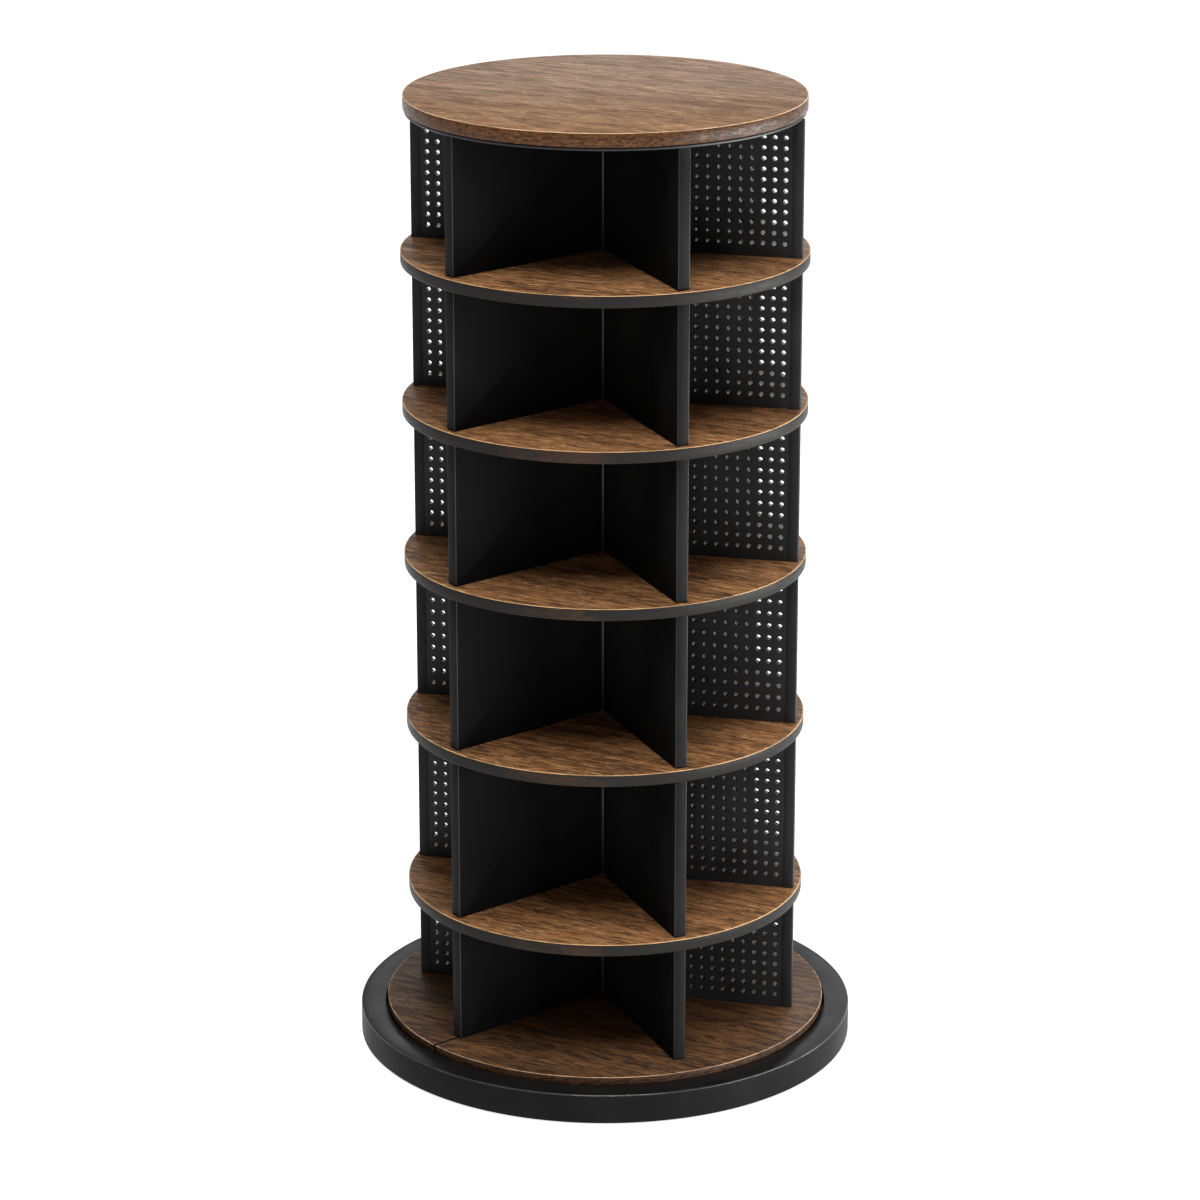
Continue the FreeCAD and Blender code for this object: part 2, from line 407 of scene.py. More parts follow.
@dataclass(frozen=True)
class DarkBoard:
    """Black board or lacquer, with a fine tooth and faint mottling."""

    name: str
    base: Triple
    bloom: Triple
    roughness: float
    gloss: float
    # Colour of the painted light towards the axis, and how far out from the axis it reaches.
    painted_light: Triple | None = None
    painted_light_reach: float = 0.19
    tooth: float = 900.0
    relief: float = 0.00008

    def material(self) -> Material:
        """Makes the board's material, painted lighter towards the axis where a colour for this is given:
        painted light in the deep bays, where shade falls.
        """
        recipe = Recipe(self.name)
        mottle = recipe.noise((16.0, 16.0, 9.0), detail=5.0, roughness=0.6)
        tooth = recipe.noise((self.tooth, self.tooth, self.tooth), detail=2.0)
        colour = recipe.mix(recipe.remap(mottle, 0.38, 0.66), self.base, self.bloom)
        # Painted light: towards the axis, deep in the bays where shade falls, the colour is painted
        # lighter.
        if self.painted_light is not None:
            colour = recipe.mix(recipe.remap(recipe.radius(), self.painted_light_reach, 0.0), colour, self.painted_light)
        recipe.bump(tooth, self.relief, 0.35)
        roughness = recipe.remap(mottle, 0.3, 0.7, self.roughness - 0.04, self.roughness + 0.06)
        return recipe.finish(colour, roughness, self.gloss)


@dataclass(frozen=True)
class Steel:
    """Bare or plated steel, brushed along one way."""

    name: str
    base: Triple
    roughness: float
    brush: Triple = (60.0, 60.0, 900.0)
    relief: float = 0.00004

    def material(self) -> Material:
        """Makes the steel's material."""
        recipe = Recipe(self.name)
        brushed = recipe.noise(self.brush, detail=3.0)
        cloud = recipe.noise((40.0, 40.0, 40.0), detail=3.0)
        shade = recipe.remap(cloud, 0.3, 0.7, 0.85, 1.08)
        colour = recipe.mix(1.0, self.base, recipe.grey(shade), "MULTIPLY")
        recipe.bump(brushed, self.relief, 0.3)
        roughness = recipe.remap(brushed, 0.3, 0.7, self.roughness - 0.06, self.roughness + 0.08)
        return recipe.finish(colour, roughness, metal=1.0)


@dataclass(frozen=True)
class Moulded:
    """Rubber or nylon, as it comes from the mould."""

    name: str
    base: Triple
    roughness: float
    relief: float = 0.0001

    def material(self) -> Material:
        """Makes the moulded material."""
        recipe = Recipe(self.name)
        grain = recipe.noise((500.0, 500.0, 500.0), detail=3.0)
        shade = recipe.remap(grain, 0.3, 0.7, 0.85, 1.1)
        colour = recipe.mix(1.0, self.base, recipe.grey(shade), "MULTIPLY")
        recipe.bump(grain, self.relief, 0.3)
        return recipe.finish(colour, self.roughness)


# Modelling moves

class Bench:
    """Modelling moves that every sub-assembly uses."""

    @staticmethod
    def clear() -> None:
        """Leaves edit mode and deselects everything."""
        if bpy.context.object is not None and bpy.context.object.mode != "OBJECT":
            bpy.ops.object.mode_set(mode="OBJECT")
        bpy.ops.object.select_all(action="DESELECT")

    @staticmethod
    def take(piece: Piece) -> None:
        """Leaves edit mode and makes a piece the only selected one.

        Args:
            piece: the piece to work on.
        """
        Bench.clear()
        piece.select_set(True)
        bpy.context.view_layer.objects.active = piece

    @staticmethod
    def start(name: str) -> Piece:
        """Names the active piece and settles its place in its mesh.

        Args:
            name: the piece's name.

        Returns:
            The piece.
        """
        piece = bpy.context.object
        piece.name = name
        piece.data.name = name
        bpy.ops.object.transform_apply(location=True, rotation=True, scale=True)
        return piece

    @staticmethod
    def pick(piece: Piece, kind: Element, test: EdgeTest | FaceTest) -> None:
        """Selects the elements of a piece that pass a test, in edit mode.

        Args:
            piece: the piece, in edit mode.
            kind: the kind of element to pick.
            test: says whether an element is picked.
        """
        bpy.ops.mesh.select_mode(type=kind.value)
        bpy.ops.mesh.select_all(action="DESELECT")
        mesh = bmesh.from_edit_mesh(piece.data)
        chosen = [each for each in (mesh.edges if kind is Element.EDGE else mesh.faces) if test(each)]
        for element in chosen:
            element.select_set(True)
        bmesh.update_edit_mesh(piece.data)

    @staticmethod
    def paint(piece: Piece, slot: int, test: FaceTest) -> None:
        """Gives the faces that pass a test one of the piece's materials.

        Args:
            piece: the piece, in edit mode.
            slot: the material's number.
            test: says whether a face is painted.
        """
        Bench.pick(piece, Element.FACE, test)
        piece.active_material_index = slot
        bpy.ops.object.material_slot_assign()

    @staticmethod
    def bevel(piece: Piece, width: float, steps: int, slot: int, test: EdgeTest) -> None:
        """Bevels the edges that pass a test.

        Args:
            piece: the piece, in edit mode.
            width: the bevel's width.
            steps: its number of faces across.
            slot: the number of its material.
            test: says whether an edge is bevelled.
        """
        Bench.pick(piece, Element.EDGE, test)
        bpy.ops.mesh.bevel(offset=width, segments=steps, material=slot)

    @staticmethod
    def round_blank(name: str, radius: float, bore: float, bottom: float, top: float,
                    *materials: Material) -> Piece:
        """Starts a round board, and leaves it in edit mode.

        Args:
            name: the board's name.
            radius: its radius.
            bore: the radius of its bore, or 0 for none.
            bottom: the height of its lower face.
            top: the height of its upper face.
            materials: its materials.

        Returns:
            The board.
        """
        Bench.clear()
        bpy.ops.mesh.primitive_cylinder_add(vertices=ROUND_SIDES, radius=radius, depth=top - bottom,
                                            location=(0.0, 0.0, (top + bottom) / 2))
        piece = Bench.start(name)
        Bench.dress(piece, *materials)
        bpy.ops.object.mode_set(mode="EDIT")
        if bore > 0:
            Bench.pick(piece, Element.FACE, lambda face: abs(face.normal.z) > 0.9)
            bpy.ops.mesh.inset(thickness=radius - bore)
            bpy.ops.mesh.bridge_edge_loops()
        return piece

    @staticmethod
    def box_blank(name: str, low: Vector, high: Vector, *materials: Material) -> Piece:
        """Starts a square-edged board, and leaves it in edit mode.

        Args:
            name: the board's name.
            low: its lowest corner.
            high: its highest corner.
            materials: its materials.

        Returns:
            The board.
        """
        Bench.clear()
        bpy.ops.mesh.primitive_cube_add(size=1.0, location=(low + high) / 2, scale=high - low)
        piece = Bench.start(name)
        Bench.dress(piece, *materials)
        bpy.ops.object.mode_set(mode="EDIT")
        return piece

    @staticmethod
    def modifier(piece: Piece, kind: str, **settings: object) -> None:
        """Adds a modifier and applies it.

        Args:
            piece: the piece to change.
            kind: the modifier's type.
            settings: the modifier's own properties.
        """
        made = piece.modifiers.new(kind.lower(), kind)
        for key, value in settings.items():
            setattr(made, key, value)
        Bench.take(piece)
        bpy.ops.object.modifier_apply(modifier=made.name)

    @staticmethod
    def smooth(piece: Piece, degrees: float = 30.0) -> None:
        """Leaves edit mode and shades a piece smooth, but for its sharper edges.

        Args:
            piece: the piece to shade.
            degrees: the angle that still counts as smooth.
        """
        Bench.take(piece)
        bpy.ops.object.shade_smooth_by_angle(angle=math.radians(degrees))

    @staticmethod
    def twin(piece: Piece, name: str, rise: float = 0.0, turn: float = 0.0) -> Piece:
        """Copies a piece, with a mesh of its own, to another place about the axis.

        Args:
            piece: the piece to copy.
            name: the copy's name.
            rise: how much higher the copy lies.
            turn: how far it is turned about the axis, in degrees.

        Returns:
            The copy.
        """
        copy = piece.copy()
        copy.data = piece.data.copy()
        bpy.context.scene.collection.objects.link(copy)
        copy.location.z = rise
        copy.rotation_euler.z = math.radians(turn)
        Bench.take(copy)
        return Bench.start(name)

    @staticmethod
    def dress(piece: Piece, *materials: Material) -> None:
        """Fills a piece's material slots in order.

        Args:
            piece: the piece to dress.
            materials: its materials.
        """
        slots = piece.data.materials
        for number, material in enumerate(materials):
            if number < len(slots):
                slots[number] = material
            else:
                slots.append(material)

    @staticmethod
    def hand_over(piece: Piece, body: Body, slot: str, *nodes: str) -> None:
        """Lets a finished piece ride on its body, in place of frame nodes.

        Args:
            piece: the finished piece.
            body: the body that it rides on.
            slot: the record's material slot; not used.
            nodes: the frame nodes that it stands for.
        """
        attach(piece, body.value)
        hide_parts(*nodes)
        log.info("%s: %d faces on %s", piece.name, len(piece.data.polygons), body.value)


def inner_radius(node: str) -> float:
    """Radius of the bore of a round frame node.

    Args:
        node: the node's name.

    Returns:
        The least distance of its corners from the axis.
    """
    return min(math.hypot(corner.co.x, corner.co.y) for corner in frame["nodes"][node].data.vertices)


def outer_radius(*nodes: str) -> float:
    """Radius of a round frame node, or of several that make one round.

    Args:
        nodes: the nodes' names.

    Returns:
        Their least reach along X and Y, so that the round stays inside their box.
    """
    boxes = [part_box(node) for node in nodes]
    sides = [[-box[0].x for box in boxes], [-box[0].y for box in boxes],
             [box[1].x for box in boxes], [box[1].y for box in boxes]]
    return min(max(side) for side in sides)


def away(vertex: bmesh.types.BMVert) -> float:
    """Distance of a vertex from the axis."""
    return math.hypot(vertex.co.x, vertex.co.y)


def edge_at(radius: float, height: float) -> EdgeTest:
    """Test for the edges of a circle about the axis.

    Args:
        radius: the circle's radius.
        height: the circle's height.

    Returns:
        The test.
    """
    def test(edge: Edge) -> bool:
        """Says whether both ends of an edge lie on the circle."""
        return all(abs(away(end) - radius) < NEAR and abs(end.co.z - height) < NEAR for end in edge.verts)
    return test


def on_side(radius: float, bore: float) -> FaceTest:
    """Test for the faces of a round board's outer side.

    Args:
        radius: the board's radius.
        bore: the radius of its bore.

    Returns:
        The test.
    """
    def test(face: Face) -> bool:
        """Says whether a face stands upright in the board's outer half."""
        return abs(face.normal.z) < 0.5 and away(face.verts[0]) > (radius + bore) / 2
    return test


def is_sharp(edge: Edge) -> bool:
    """Says whether two faces meet at an edge at more than 60 degrees."""
    return edge.is_manifold and edge.calc_face_angle() > math.radians(60.0)


# Sub-assemblies

@dataclass
class RoundBoard:
    """Round board with a bore, a worn upper rim and a rounded lower one."""

    FACE, RIM = range(2)  # material slots

    name: str
    radius: float
    bore: float
    bottom: float
    top: float
    upper_bevel: float = 0.0006
    upper_steps: int = 2
    lower_bevel: float = 0.0012
    lower_steps: int = 3

    def build(self, face: Material, rim: Material) -> Piece:
        """Models the board.

        Args:
            face: the finish of its faces and upper rim.
            rim: the finish of its side.

        Returns:
            The board.
        """
        piece = Bench.round_blank(self.name, self.radius, self.bore, self.bottom, self.top, face, rim)
        Bench.paint(piece, self.RIM, on_side(self.radius, self.bore))
        Bench.bevel(piece, self.upper_bevel, self.upper_steps, self.FACE, edge_at(self.radius, self.top))
        Bench.bevel(piece, self.lower_bevel, self.lower_steps, self.RIM, edge_at(self.radius, self.bottom))
        Bench.smooth(piece)
        return piece


@dataclass
class Discs:
    """Top disc, top plate, five shelves and the two halves of the bottom disc."""

    SEAM = 2  # material slot

    rim_bevel: float = 0.0009
    rim_steps: int = 2
    # upper bevel of the top plate, in the darker finish as a painted shadow line
    plate_shadow_bevel: float = 0.0016
    pocket_clearance: float = 0.0005
    seam_gap: float = 0.0016
    seam_bevel: float = 0.0011
    seam_slack: float = 0.00001
    seam_weld: float = 0.000002

    def shelves(self, wood: Material, edge: Material) -> None:
        """Makes the five shelves.

        Args:
            wood: the finish of their faces.
            edge: the finish of their rims.
        """
        low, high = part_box("shelf_1")
        first = RoundBoard("shelf_1_wood", outer_radius("shelf_1"), inner_radius("shelf_1"),
                           low.z, high.z).build(wood, edge)
        made = {"shelf_1": first}
        for number in SHELVES[1:]:
            node = "shelf_%d" % number
            made[node] = Bench.twin(first, node + "_wood", rise=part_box(node)[0].z - low.z)
        for node, piece in made.items():
            Bench.hand_over(piece, Body.TOWER, "shelf_wood", node)

    def top(self, wood: Material, edge: Material, black: Material, seam_and_shadow: Material) -> None:
        """Makes the top disc, with its pocket for the nut, and the plate under it.

        Args:
            wood: the finish of the disc's face.
            edge: the finish of the disc's rim.
            black: the finish of the plate's rim.
            seam_and_shadow: the finish of the plate's faces and upper bevel, darker than its rim: a
                painted shadow line under the disc.
        """
        low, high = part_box("top_disc")
        radius = outer_radius("top_disc")
        disc = RoundBoard("top_disc_wood", radius, 0.0, low.z, high.z, lower_bevel=self.rim_bevel,
                          lower_steps=self.rim_steps).build(wood, edge)
        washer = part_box("tie_rod_washers")[1]
        pocket_radius = math.hypot(washer.x, washer.y) + self.pocket_clearance
        pocket_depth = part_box("tie_rod")[1].z - low.z + self.pocket_clearance
        bpy.ops.object.mode_set(mode="EDIT")
        Bench.pick(disc, Element.FACE, lambda face: face.normal.z < -0.99 and len(face.verts) > 4)
        bpy.ops.mesh.inset(thickness=radius - self.rim_bevel - pocket_radius)
        bpy.ops.mesh.extrude_region_move(TRANSFORM_OT_translate={"value": (0.0, 0.0, pocket_depth)})
        bpy.ops.object.mode_set(mode="OBJECT")
        Bench.hand_over(disc, Body.TOWER, "top_wood", "top_disc")
        low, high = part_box("top_plate")
        # The plate's upper bevel takes the darker board finish: a painted shadow line under the disc's
        # rim.
        plate = RoundBoard("top_plate_black", outer_radius("top_plate"), inner_radius("top_plate"),
                           low.z, high.z, upper_bevel=self.plate_shadow_bevel).build(seam_and_shadow, black)
        Bench.hand_over(plate, Body.TOWER, "black_plate", "top_plate")

    def bottom(self, wood: Material, edge: Material, seam_and_shadow: Material) -> None:
        """Makes the bottom disc and cuts it along its seam.

        Args:
            wood: the finish of its face.
            edge: the finish of its rim.
            seam_and_shadow: the finish of the seam's two sides.
        """
        low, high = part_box("bottom_disc_back")
        radius = outer_radius("bottom_disc_back", "bottom_disc_front")
        turn = math.radians(BOARD_ANGLE)
        across = Vector((-math.sin(turn), math.cos(turn), 0.0))
        for side, node in ((1.0, "bottom_disc_back"), (-1.0, "bottom_disc_front")):
            half = RoundBoard(node + "_wood", radius, inner_radius(node), low.z, high.z,
                              lower_bevel=self.rim_bevel, lower_steps=self.rim_steps).build(wood, edge)
            Bench.dress(half, wood, edge, seam_and_shadow)
            bpy.ops.object.mode_set(mode="EDIT")
            bpy.ops.mesh.select_all(action="SELECT")
            bpy.ops.mesh.bisect(plane_co=across * side * self.seam_gap / 2, plane_no=across * side,
                                use_fill=True, clear_inner=True, threshold=self.seam_weld)
            Bench.paint(half, self.SEAM, lambda face: abs(face.normal.dot(across)) > 0.99
                        and abs(face.calc_center_median().dot(across)) < self.seam_gap)
            Bench.bevel(half, self.seam_bevel, 1, self.SEAM, lambda edge: all(
                abs(end.co.dot(across)) < self.seam_gap / 2 + self.seam_slack
                and (end.co.z > high.z - NEAR or away(end) > radius - self.rim_bevel - NEAR)
                for end in edge.verts))
            Bench.smooth(half)
            Bench.hand_over(half, Body.TOWER, "bottom_wood", node)


@dataclass
class Dividers:
    """Twenty-four solid boards that stand like spokes."""

    FACE, EDGE, BAND = range(3)  # material slots

    thickness: float = 0.015
    bevel: float = 0.0007
    # bevel at the foot of the outer end, in the darker finish as a painted shadow line
    bevel_steps: int = 2
    foot_shadow_bevel: float = 0.0018
    smooth_angle: float = 40.0

    def build(self, board: Material, edge: Material, band: Material) -> None:
        """Models one board to a tier and copies it round the post.

        Args:
            board: the finish of the boards.
            edge: the finish of their narrow bevels, lighter than the boards: partly worn edges, partly a
                painted highlight line.
            band: the finish of the edge band on their outer ends.
        """
        places = {"back_right": BOARD_ANGLE, "back_left": 180.0 - BOARD_ANGLE,
                  "front_left": 180.0 + BOARD_ANGLE, "front_right": -BOARD_ANGLE}
        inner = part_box("tier_1_perforated_right")[0].x
        for tier in TIERS:
            low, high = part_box("tier_%d_divider_back_right" % tier)
            outer = self.reach(high)
            plain = Bench.box_blank("divider_blank_%d" % tier, Vector((inner, -self.thickness / 2, low.z)),
                                    Vector((outer, self.thickness / 2, high.z)), board, edge, band)
            Bench.paint(plain, self.BAND, lambda face: face.normal.x > 0.9)
            # The foot of the outer end takes the darker board finish, not the edge band: a painted shadow
            # line where the board meets the shelf.
            Bench.bevel(plain, self.foot_shadow_bevel, 1, self.FACE, lambda edge: all(
                abs(end.co.x - outer) < NEAR and abs(end.co.z - low.z) < NEAR for end in edge.verts))
            # The narrow bevels are painted lighter: partly worn edges, partly a painted highlight along
            # each edge.
            Bench.bevel(plain, self.bevel, self.bevel_steps, self.EDGE, is_sharp)
            Bench.smooth(plain, self.smooth_angle)
            for place, turn in places.items():
                node = "tier_%d_divider_%s" % (tier, place)
                piece = Bench.twin(plain, node + "_board", turn=turn)
                Bench.hand_over(piece, Body.TOWER, "black_board", node)
            bpy.data.objects.remove(plain)

    def reach(self, corner: Vector) -> float:
        """Distance of a turned board's outer end from the axis.

        Args:
            corner: the highest corner of the board's box.

        Returns:
            The distance along the board.
        """
        turn = math.radians(BOARD_ANGLE)
        return (corner.y - self.thickness / 2 * math.cos(turn)) / math.sin(turn)


@dataclass
class PerforatedBoards:
    """Twelve thin boards with round holes on a square grid, and a plain stile at the outer end."""

    FIELD, HOLE, STILE = range(3)  # material slots

    pitch: float = 0.0135
    hole_radius: float = 0.00285
    hole_sides: int = 12
    columns: int = 15
    outer_column: float = 0.02125
    lowest_row: float = 0.0168
    highest_row: float = 0.023
    row_counts: tuple[int, ...] = (11, 11, 11, 11, 13, 9)
    weld: float = 0.00005
    stile: float = 0.0125
    stile_bevel: float = 0.0007
    stile_steps: int = 2
    recess: float = 0.0003
    rim_bevel: float = 0.00025
    smooth_angle: float = 38.0

    def cell(self, name: str, rise: float) -> Piece:
        """Models one cell of the grid with a round hole, flat in XZ.

        Args:
            name: the name of the board that it grows into.
            rise: the cell's height.

        Returns:
            The cell, with its lower left corner at the origin.
        """
        Bench.clear()
        bpy.ops.mesh.primitive_circle_add(vertices=self.hole_sides, radius=self.hole_radius,
                                          rotation=(math.radians(90.0), 0.0, 0.0))
        piece = Bench.start(name)
        bpy.ops.object.mode_set(mode="EDIT")
        bpy.ops.mesh.select_mode(type=Element.EDGE.value)
        bpy.ops.mesh.select_all(action="SELECT")
        bpy.ops.mesh.extrude_region_move()
        bpy.ops.transform.resize(value=(self.pitch / self.hole_radius,) * 3)
        for normal, half in ((Vector((1, 0, 0)), self.pitch / 2), (Vector((-1, 0, 0)), self.pitch / 2),
                             (Vector((0, 0, 1)), rise / 2), (Vector((0, 0, -1)), rise / 2)):
            bpy.ops.mesh.select_all(action="SELECT")
            bpy.ops.mesh.bisect(plane_co=normal * half, plane_no=normal, clear_outer=True)
        bpy.ops.mesh.select_all(action="SELECT")
        bpy.ops.transform.translate(value=(self.pitch / 2, 0.0, rise / 2))
        bpy.ops.object.mode_set(mode="OBJECT")
        return piece

    def panel(self, name: str, rows: int, low: Vector, high: Vector, *materials: Material) -> Piece:
        """Models one board of holes, with its outer stile.

        Args:
            name: the piece's name.
            rows: the number of rows of holes.
            low: lowest corner of the board.
            high: highest corner of the board.
            materials: the finishes of the field, of the holes and of the stile.

        Returns:
            The board, in its place.
        """
        rise = (high.z - low.z - self.lowest_row - self.highest_row) / (rows - 1)
        piece = self.cell(name, rise)
        Bench.dress(piece, *materials)
        for count, step in ((self.columns, (self.pitch, 0.0, 0.0)), (rows, (0.0, 0.0, rise))):
            Bench.modifier(piece, "ARRAY", count=count, use_relative_offset=False,
                           use_constant_offset=True, constant_offset_displace=step,
                           use_merge_vertices=True, merge_threshold=self.weld)
        left = high.x - self.outer_column - (self.columns - 0.5) * self.pitch
        right = left + self.columns * self.pitch
        bottom = low.z + self.lowest_row - rise / 2
        top = bottom + rows * rise
        bpy.ops.object.mode_set(mode="EDIT")
        bpy.ops.mesh.select_all(action="SELECT")
        bpy.ops.transform.translate(value=(left, (low.y + high.y) / 2, bottom))
        for axis, place, end in ((0, left, low.x), (0, right, high.x - self.stile), (2, bottom, low.z),
                                 (2, top, high.z)):
            self.border(piece, axis, place, end - place)
        bpy.ops.object.mode_set(mode="OBJECT")
        Bench.modifier(piece, "SOLIDIFY", thickness=high.y - low.y - 2 * self.recess, offset=0.0)
        bpy.ops.object.mode_set(mode="EDIT")
        bpy.ops.mesh.select_all(action="SELECT")
        bpy.ops.mesh.normals_make_consistent(inside=False)
        # The hole walls and edge bevels take a darker finish: painted shade inside the holes; their gloss
        # is real.
        Bench.paint(piece, self.HOLE, lambda face: abs(face.normal.y) < 0.5
                    and left < face.calc_center_median().x < right
                    and bottom < face.calc_center_median().z < top)
        Bench.bevel(piece, self.rim_bevel, 1, self.HOLE, is_sharp)
        self.add_stile(piece, low, high)
        Bench.smooth(piece, self.smooth_angle)
        return piece

    def add_stile(self, piece: Piece, low: Vector, high: Vector) -> None:
        """Joins the plain stile to the outer end of a board.

        Args:
            piece: the board of holes.
            low: lowest corner of the board.
            high: highest corner of the board.
        """
        stile = Bench.box_blank(piece.name + "_stile", Vector((high.x - self.stile, low.y, low.z)), high,
                                *piece.data.materials)
        Bench.paint(stile, self.STILE, lambda face: True)
        Bench.bevel(stile, self.stile_bevel, self.stile_steps, self.STILE,
                    lambda edge: abs(edge.verts[0].co.z - edge.verts[1].co.z) > self.stile)
        Bench.take(piece)
        stile.select_set(True)
        bpy.ops.object.join()

    @staticmethod
    def border(piece: Piece, axis: int, place: float, reach: float) -> None:
        """Draws one side of a sheet out to the board's end.

        Args:
            piece: the sheet, in edit mode.
            axis: 0 to draw along X, 2 along Z.
            place: where the side lies now.
            reach: how far it is drawn out.
        """
        Bench.pick(piece, Element.EDGE, lambda edge: edge.is_boundary and all(
            abs(end.co[axis] - place) < NEAR for end in edge.verts))
        shift = [0.0, 0.0, 0.0]
        shift[axis] = reach
        bpy.ops.mesh.extrude_region_move(TRANSFORM_OT_translate={"value": tuple(shift)})

    def build(self, *materials: Material) -> None:
        """Models one board to a tier and turns its copy to the other side.

        Args:
            materials: the finishes of the field, of the holes and of the stile.
        """
        for tier in TIERS:
            node = "tier_%d_perforated_right" % tier
            right = self.panel(node + "_panel", self.row_counts[tier - 1], *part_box(node), *materials)
            left_node = "tier_%d_perforated_left" % tier
            left = Bench.twin(right, left_node + "_panel", turn=180.0)
            Bench.hand_over(right, Body.TOWER, "perforated_board", node)
            Bench.hand_over(left, Body.TOWER, "perforated_board", left_node)


@dataclass
class BaseRing:
    """Black ring that the bottom disc turns in."""

    TOP, BEVEL, FOOT, SIDE = range(4)  # material slots

    node: str = "base_ring"
    top_bevel: float = 0.0015
    top_steps: int = 3
    lip_bevel: float = 0.0008
    lip_steps: int = 2
    foot_shadow_bevel: float = 0.0013

    def build(self, black: Material, rubbed: Material, foot_shadow: Material, side: Material) -> None:
        """Models the ring.

        Args:
            black: the finish of the ring.
            rubbed: the finish of its upper outer bevel, lighter than the ring: a painted highlight line,
                not wear.
            foot_shadow: the finish of its lowest edge, darker and duller than its side: a painted shadow
                line at the floor.
            side: the finish of its outer side.
        """
        low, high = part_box(self.node)
        outer = outer_radius(self.node)
        inner = inner_radius(self.node)
        piece = Bench.round_blank("base_ring_lacquered", outer, inner, low.z, high.z,
                                  black, rubbed, foot_shadow, side)
        Bench.paint(piece, self.SIDE, on_side(outer, inner))
        # The upper outer bevel is painted lighter: a painted highlight along the ring's edge; its gloss is
        # real.
        Bench.bevel(piece, self.top_bevel, self.top_steps, self.BEVEL, edge_at(outer, high.z))
        Bench.bevel(piece, self.lip_bevel, self.lip_steps, self.TOP, edge_at(inner, high.z))
        # The lowest bevel takes the darker, duller board finish: a painted shadow line where the ring
        # meets the floor.
        Bench.bevel(piece, self.foot_shadow_bevel, 1, self.FOOT, edge_at(outer, low.z))
        Bench.smooth(piece)
        Bench.hand_over(piece, Body.BASE, "black_base", self.node)


class Works:
    """Post, tie rod, turntable and pads, which keep the frame's own shapes."""

    def dress(self, finishes: dict[str, Material]) -> None:
        """Dresses every frame node that still shows.

        Args:
            finishes: a material for each of the record's slots.
        """
        slots = {part["node"]: part["material_slot"] for part in frame["record"]["subparts"]}
        for name, node in frame["nodes"].items():
            if not node.hide_render:
                Bench.dress(node, finishes[slots[name]])
                log.info("%s: keeps its shape, in %s", name, slots[name])


@dataclass
class Studio:
    """Pale floor, soft light and the camera at the photograph's angle."""

    focal_pixels: float = 4304.65
    frame_pixels: float = 1200.0
    sensor: float = 36.0
    distance: float = 5.12198
    height: float = 2.22292
    pitch: float = 17.8511
    azimuth: float = 13.7
    turn: float = 0.0693
    side_step: float = -0.0003
    sky: float = 0.3
    floor_reach: float = 60.0
    floor_glow: float = 0.8
    floor_paint: float = 0.6

    def camera(self) -> None:
        """Stands the camera up."""
        around = math.radians(self.azimuth)
        data = bpy.data.cameras.new("studio_camera")
        data.sensor_width = self.sensor
        data.lens = self.focal_pixels / self.frame_pixels * self.sensor
        data.clip_end = self.floor_reach * 2
        camera = bpy.data.objects.new("studio_camera", data)
        camera.location = (self.side_step * math.cos(around) + self.distance * math.sin(around),
                           self.side_step * math.sin(around) - self.distance * math.cos(around),
                           self.height)
        camera.rotation_euler = (math.radians(90.0 - self.pitch), 0.0, around + math.radians(self.turn))
        bpy.context.scene.collection.objects.link(camera)
        bpy.context.scene.camera = camera

    def softbox(self, name: str, bearing: float, rise: float, reach: float, size: tuple[float, float],
                power: float, aim: float = 0.6) -> None:
        """Hangs a softbox that faces the tower.

        Args:
            name: the light's name.
            bearing: its side, in degrees to the right of the front.
            rise: its elevation as the tower sees it, in degrees.
            reach: its distance.
            size: its width and height.
            power: its power in watts.
            aim: the height on the tower's axis that it faces.
        """
        data = bpy.data.lights.new(name, "AREA")
        data.shape = "RECTANGLE"
        data.size, data.size_y = size
        data.energy = power
        light = bpy.data.objects.new(name, data)
        flat = reach * math.cos(math.radians(rise))
        turn = math.radians(bearing)
        out = Vector((flat * math.sin(turn), -flat * math.cos(turn), reach * math.sin(math.radians(rise))))
        light.location = Vector((0.0, 0.0, aim)) + out
        light.rotation_euler = (-out).to_track_quat("-Z", "Y").to_euler()
        bpy.context.scene.collection.objects.link(light)

    def build(self) -> None:
        """Sets the floor, the sky, the softboxes and the camera."""
        Bench.clear()
        bpy.ops.mesh.primitive_plane_add(size=self.floor_reach)
        floor = Bench.start("studio_floor")
        recipe = Recipe("pale_floor")
        tone = recipe.remap(recipe.noise((3.0, 3.0, 3.0)), 0.3, 0.7, self.floor_paint,
                            self.floor_paint + 0.01)
        recipe.feed(recipe.shader.inputs["Emission Color"], (1.0, 1.0, 1.0))
        recipe.feed(recipe.shader.inputs["Emission Strength"], self.floor_glow)
        Bench.dress(floor, recipe.finish(recipe.grey(tone), 0.9, 0.0))
        world = bpy.data.worlds.new("studio_sky")
        world.use_nodes = True
        sky = world.node_tree.nodes["Background"].inputs
        sky["Color"].default_value = (1.0, 1.0, 1.0, 1.0)
        sky["Strength"].default_value = self.sky
        bpy.context.scene.world = world
        self.softbox("overhead_front", bearing=20.0, rise=64.0, reach=5.2, size=(2.6, 2.2), power=295.0)
        self.softbox("right_side", bearing=91.0, rise=0.0, reach=3.0, size=(3.6, 0.8), power=150.0,
                     aim=0.42)
        self.softbox("back_card", bearing=180.0, rise=22.0, reach=5.5, size=(4.8, 2.6), power=58.0)
        bpy.context.scene.view_settings.view_transform = "Standard"
        self.camera()


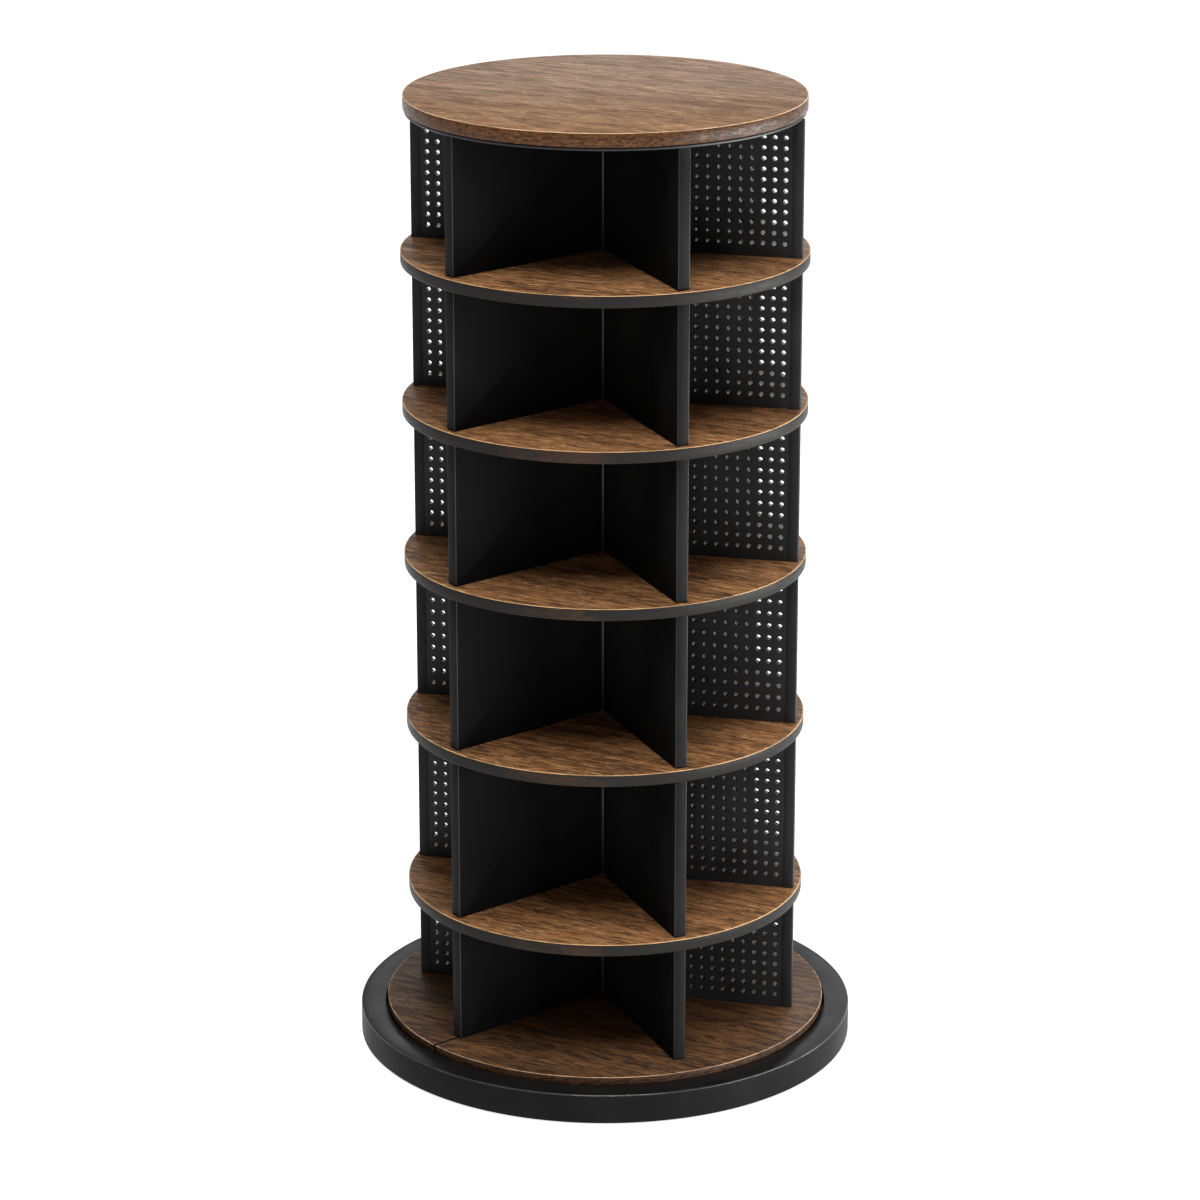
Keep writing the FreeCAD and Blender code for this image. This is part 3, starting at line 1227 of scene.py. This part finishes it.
def finishes() -> dict[str, Material]:
    """Makes one material for each of the record's slots, and one for each rim.

    Returns:
        The materials by name.
    """
    shelf_radius = outer_radius("shelf_1")
    top_radius = outer_radius("top_disc")
    bottom_radius = outer_radius("bottom_disc_back", "bottom_disc_front")
    made = [
        RusticWood("top_wood", (0.245, 0.129, 0.056), (0.175, 0.087, 0.037), (0.105, 0.051, 0.023),
                   top_radius, sliver=(0.5, 0.33, 0.19), worn=(0.62, 0.41, 0.25), tick_share=0.35,
                   streak_share=0.5, gloss=0.1),
        RusticWood("top_edge", (0.092, 0.038, 0.012), (0.054, 0.021, 0.006), (0.024, 0.009, 0.003),
                   top_radius, band=True, sliver=(0.18, 0.09, 0.038), tick_share=0.45, sliver_share=0.35,
                   roughness=0.33, gloss=0.15),
        RusticWood("shelf_wood", (0.255, 0.118, 0.045), (0.142, 0.064, 0.024), (0.052, 0.023, 0.009),
                   shelf_radius, worn=(0.58, 0.34, 0.16), worn_width=0.0011, tick_share=0.6,
                   sliver_share=0.7, streak_share=0.75),
        RusticWood("bottom_wood", (0.108, 0.05, 0.019), (0.056, 0.025, 0.01), (0.019, 0.009, 0.0045),
                   bottom_radius, sliver=(0.19, 0.098, 0.04), worn=(0.48, 0.3, 0.17), worn_width=0.0007,
                   tick_share=0.55, streak_share=0.75),
        RusticWood("bottom_edge", (0.06, 0.028, 0.013), (0.03, 0.014, 0.007), (0.012, 0.007, 0.004),
                   bottom_radius, band=True, sliver=(0.09, 0.045, 0.02), sliver_share=0.3, gloss=0.15),
        PaintedEdge("shelf_edge", shelf_radius),
        # The black boards are painted lighter towards the axis: painted light in the deep bays.
        DarkBoard("black_board", (0.0042, 0.0042, 0.0043), (0.0055, 0.0055, 0.0056), 0.5, 0.02,
                  painted_light=(0.016, 0.016, 0.016)),
        # Lighter bevel finish: worn edges together with a painted highlight line.
        DarkBoard("board_bevel_wear_and_highlight", (0.016, 0.016, 0.017), (0.028, 0.027, 0.026), 0.4, 0.28),
        DarkBoard("edge_band", (0.008, 0.008, 0.0082), (0.012, 0.012, 0.012), 0.5, 0.05),
        DarkBoard("perforated_board", (0.0145, 0.0145, 0.0147), (0.0205, 0.0205, 0.0207), 0.45, 0.14),
        # Darker than the field: painted shade inside the holes.
        DarkBoard("hole_wall_painted_shade", (0.004, 0.004, 0.004), (0.007, 0.007, 0.007), 0.24, 0.13),
        DarkBoard("stile_lacquer", (0.017, 0.017, 0.0172), (0.024, 0.024, 0.024), 0.48, 0.06),
        DarkBoard("black_plate", (0.008, 0.008, 0.008), (0.012, 0.012, 0.012), 0.42, 0.35),
        DarkBoard("black_base", (0.0058, 0.0058, 0.0059), (0.008, 0.008, 0.008), 0.3, 0.08),
        # Painted highlight: the ring's upper bevel, lighter than the ring.
        DarkBoard("ring_bevel_highlight", (0.02, 0.02, 0.02), (0.028, 0.028, 0.028), 0.26, 0.4),
        DarkBoard("ring_side", (0.0062, 0.0062, 0.0063), (0.0085, 0.0085, 0.0085), 0.46, 0.055),
        DarkBoard("base_board", (0.02, 0.02, 0.02), (0.03, 0.03, 0.03), 0.6, 0.3),
        Steel("post_steel", (0.06, 0.06, 0.063), 0.42),
        Steel("race_steel", (0.56, 0.56, 0.55), 0.34, (300.0, 40.0, 300.0)),
        Steel("zinc_steel", (0.62, 0.62, 0.60), 0.28),
        Steel("ball_steel", (0.75, 0.75, 0.76), 0.12),
        Moulded("cage_plastic", (0.6, 0.57, 0.5), 0.5),
        Moulded("rubber", (0.02, 0.02, 0.02), 0.75),
    ]
    return {finish.name: finish.material() for finish in made}


def main() -> None:
    """Builds the studio and the tower, sub-assembly by sub-assembly."""
    logging.basicConfig(level=logging.INFO, format="%(message)s")
    Studio().build()
    paint = finishes()
    BaseRing().build(paint["black_base"], paint["ring_bevel_highlight"], paint["black_board"], paint["ring_side"])
    discs = Discs()
    discs.bottom(paint["bottom_wood"], paint["bottom_edge"], paint["black_board"])
    discs.shelves(paint["shelf_wood"], paint["shelf_edge"])
    discs.top(paint["top_wood"], paint["top_edge"], paint["black_plate"], paint["black_board"])
    Dividers().build(paint["black_board"], paint["board_bevel_wear_and_highlight"], paint["edge_band"])
    PerforatedBoards().build(paint["perforated_board"], paint["hole_wall_painted_shade"], paint["stile_lacquer"])
    Works().dress(paint)


if __name__ == "__main__":
    main()
